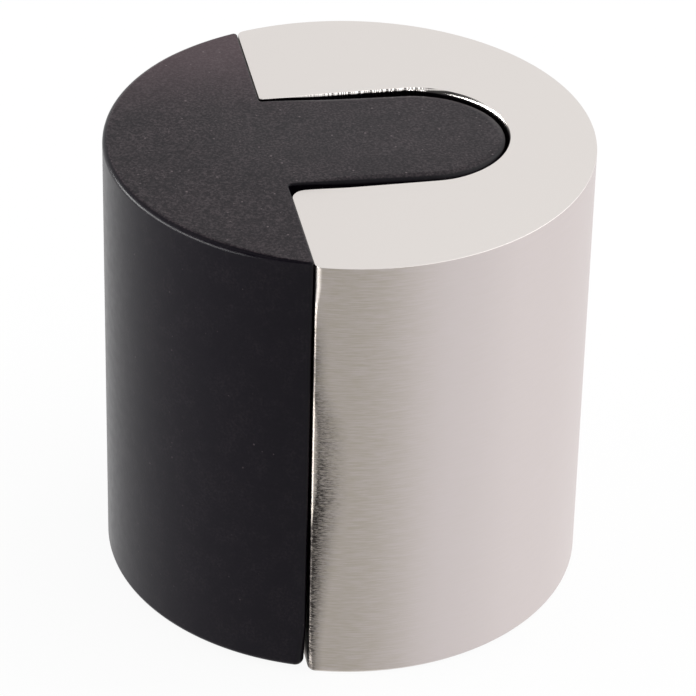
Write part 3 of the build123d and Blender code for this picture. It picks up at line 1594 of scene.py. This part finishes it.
    def add_tongue_foot(self, surface: ClosedSurface) -> None:
        """Adds the bevel under the tongue, its underside, and the flat faces beside the bevel.

        Args:
            surface: the surface to add to.
        """
        flat, half, root_y = self.sizes.buffer_flat_x, self.sizes.tongue_half_width, self.root_y
        sole, start, sole_half = self.tongue_base_z, self.tongue_start_z, self.sole_half_width
        for side, root in zip((-1.0, 1.0), self.roots):
            cheek = np.array(
                [
                    [(flat, side * sole_half, sole), (flat, side * root_y, sole)],
                    [(flat, side * half, start), (flat, side * root_y, start)],
                ]
            )
            surface.grid(cheek, AHEAD)
            surface.disc(lifted(root.points, start), (flat, side * half, start), 1, DOWN)
        root_x = flat + self.root_radius
        foot = PlanPath.chain(
            [
                PlanPath.line((flat, -half), (root_x, -half)),
                self.tongue,
                PlanPath.line((root_x, half), (flat, half)),
            ]
        )
        surface.wall(foot, WallProfile.slope((self.lead_in, sole), (0.0, start)))
        under = foot.inset(self.lead_in)
        surface.disc(lifted(np.vstack([under, under[:1]]), sole), (0.0, 0.0, sole), 1, DOWN)

    def build(self) -> bpy.types.Object:
        """Builds the closed surface in place of the CAD solid.

        Returns:
            The object.
        """
        surface = ClosedSurface()
        self.add_sides(surface)
        self.add_ends(surface)
        self.add_tongue_foot(surface)
        surface.warp(self.settled)
        self.shown = surface.make("buffer_surface")
        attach(self.shown, "root")
        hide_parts(Solid.BUFFER.value)
        return self.shown

    def dress(self) -> None:
        """Gives the surface its finish."""
        self.shown.data.materials.append(self.finish.material())


@dataclass(frozen=True)
class Viewpoint:
    """The camera, as found from the photograph, in millimetres and degrees.

    Args:
        lens: focal length.
        sensor: width of the sensor.
        distance: distance from the point aimed at.
        elevation: angle above the floor.
        azimuth: angle about the object, from -Y towards +X.
        roll: turn about the line of sight.
        aim_right: how far right of the axis the camera is aimed.
        aim_height: how far above the floor it is aimed.
        nearest: distance from which on it sees.
    """

    lens: float = 204.6
    sensor: float = 36.0
    distance: float = 372.3
    elevation: float = 33.05
    azimuth: float = -11.2
    roll: float = 1.37
    aim_right: float = 0.29
    aim_height: float = 21.27
    nearest: float = 10.0

    def place(self) -> bpy.types.Object:
        """Adds the camera.

        Returns:
            The camera object.
        """
        back = direction(self.azimuth, self.elevation)
        azimuth, roll = math.radians(self.azimuth), math.radians(self.roll)
        right = Vector((math.cos(azimuth), math.sin(azimuth), 0.0))
        upward = back.cross(right)
        x_axis = math.cos(roll) * right + math.sin(roll) * upward
        y_axis = math.cos(roll) * upward - math.sin(roll) * right
        aim = self.aim_right * right + Vector((0.0, 0.0, self.aim_height))
        data = bpy.data.cameras.new("camera")
        data.lens = self.lens
        data.sensor_width = self.sensor
        data.clip_start = self.nearest * METRES_PER_MM
        made = linked("camera", data)
        turned = Matrix((x_axis, y_axis, back)).transposed().to_4x4()
        place = Matrix.Translation((aim + back * self.distance) * METRES_PER_MM)
        made.matrix_world = place @ turned
        bpy.context.scene.camera = made
        return made


@dataclass(frozen=True)
class Softbox:
    """A soft lamp aimed at the object.

    Args:
        name: its name.
        bearing: direction from the object, in degrees from the camera's side to the right.
        elevation: angle above the floor, in degrees.
        distance: distance from the object, in metres.
        width: width of its face, in metres.
        height: height of its face, in metres.
        power: its power, in watts.
    """

    name: str
    bearing: float
    elevation: float
    distance: float
    width: float
    height: float
    power: float

    def place(self, facing: float) -> bpy.types.Object:
        """Adds the lamp.

        Args:
            facing: the camera's azimuth about the object, in degrees.

        Returns:
            The lamp object.
        """
        away = direction(facing + self.bearing, self.elevation)
        data = bpy.data.lights.new(self.name, "AREA")
        data.shape = "RECTANGLE"
        data.size = self.width
        data.size_y = self.height
        data.energy = self.power
        made = linked(self.name, data)
        turned = away.to_track_quat("Z", "Y").to_matrix().to_4x4()
        made.matrix_world = Matrix.Translation(away * self.distance) @ turned
        made.visible_camera = False
        return made


@dataclass(frozen=True)
class Studio:
    """The floor, the surroundings and the lamps.

    Args:
        facing: the camera's azimuth about the object, in degrees.
        floor_colour: colour of the floor in its own light.
        floor_size: length of the floor's sides, in metres.
        floor_drop: how far the floor lies under the object, in metres.
        shadow_share: share of its own light that the floor shows.
        bright_bearing: bearing of the bright side, in degrees from the camera's side.
        bright_elevation: elevation of the bright side, in degrees.
        bright: light of the surroundings, by the cosine of the angle to the bright side.
        overhead: share of that light, by the sine of the elevation.
        softboxes: the lamps.
    """

    facing: float
    floor_colour: Colour = (0.85, 0.85, 0.85, 1.0)
    floor_size: float = 20.0
    floor_drop: float = 0.0001
    shadow_share: float = 0.08
    bright_bearing: float = 150.0
    bright_elevation: float = 20.0
    bright: Ramp = Ramp(-0.56, -0.32, 0.05, 1.0)
    overhead: Ramp = Ramp(0.84, 0.96, 1.0, 0.05)
    softboxes: tuple[Softbox, ...] = (
        Softbox("key", 110.0, 55.0, distance=0.65, width=0.7, height=0.7, power=2.4),
        Softbox("left", -82.0, 6.0, distance=0.6, width=0.9, height=0.12, power=7.5),
    )

    def floor_material(self) -> bpy.types.Material:
        """Builds the floor's material: plain white when seen, but for a faint shadow.

        Returns:
            The material.
        """
        made = bpy.data.materials.new("floor")
        net = ShaderNet(made)
        diffuse = net.node("ShaderNodeBsdfDiffuse", {"Color": self.floor_colour})
        white = net.node("ShaderNodeEmission", {"Color": WHITE, "Strength": 1.0})
        rays = net.node("ShaderNodeLightPath").outputs
        mirrored = net.math("MAXIMUM", rays["Is Glossy Ray"], rays["Is Transmission Ray"])
        seen = net.math("MAXIMUM", rays["Is Camera Ray"], mirrored)
        share = net.product(seen, 1.0 - self.shadow_share)
        mixed = net.node(
            "ShaderNodeMixShader", {0: share, 1: diffuse.outputs[0], 2: white.outputs[0]}
        )
        net.node("ShaderNodeOutputMaterial", {"Surface": mixed.outputs[0]})
        return made

    def floor(self) -> bpy.types.Object:
        """Adds the floor.

        Returns:
            The floor object.
        """
        half = self.floor_size / 2.0
        corners = [(-half, -half), (half, -half), (half, half), (-half, half)]
        mesh = bpy.data.meshes.new("floor")
        mesh.from_pydata([(x, y, -self.floor_drop) for x, y in corners], [], [(0, 1, 2, 3)])
        mesh.materials.append(self.floor_material())
        made = linked("floor", mesh)
        return made

    def surroundings(self) -> bpy.types.World:
        """Sets a world that is white low down behind and to the right, and dim elsewhere.

        Returns:
            The world.
        """
        world = bpy.data.worlds.new("studio")
        bpy.context.scene.world = world
        net = ShaderNet(world)
        bright_side = direction(self.facing + self.bright_bearing, self.bright_elevation)
        looking = net.node("ShaderNodeTexCoord").outputs["Generated"]
        towards = net.node(
            "ShaderNodeVectorMath", {0: looking, 1: bright_side}, operation="DOT_PRODUCT"
        )
        height = net.node("ShaderNodeSeparateXYZ", {0: looking}).outputs[2]
        light = net.ramp(towards.outputs["Value"], self.bright)
        level = net.product(light, net.ramp(height, self.overhead))
        backdrop = net.node("ShaderNodeBackground", {"Color": WHITE, "Strength": level})
        net.node("ShaderNodeOutputWorld", {"Surface": backdrop.outputs[0]})
        return world

    def build(self) -> None:
        """Adds the floor, the surroundings and the lamps."""
        self.floor()
        self.surroundings()
        for softbox in self.softboxes:
            softbox.place(self.facing)
        bpy.context.scene.view_settings.view_transform = "Standard"


def main() -> None:
    """Builds the object, dresses it and sets the stage."""
    logging.basicConfig(level=logging.INFO, format="%(name)s: %(message)s")
    sizes = StopSizes.from_frame()
    # the metal, with its painted dark reflection beside the near corner
    metal = SatinNickel(PaintedDarkReflection(sizes.body_flat_x * METRES_PER_MM))
    for piece in (MetalBody(sizes, metal), RubberBuffer(sizes, MouldedRubber())):
        shown = piece.build()
        piece.dress()
        log.info("%s: %d triangles", shown.name, len(shown.data.polygons))
    viewpoint = Viewpoint()
    viewpoint.place()
    Studio(viewpoint.azimuth).build()


if __name__ == "__main__":
    main()
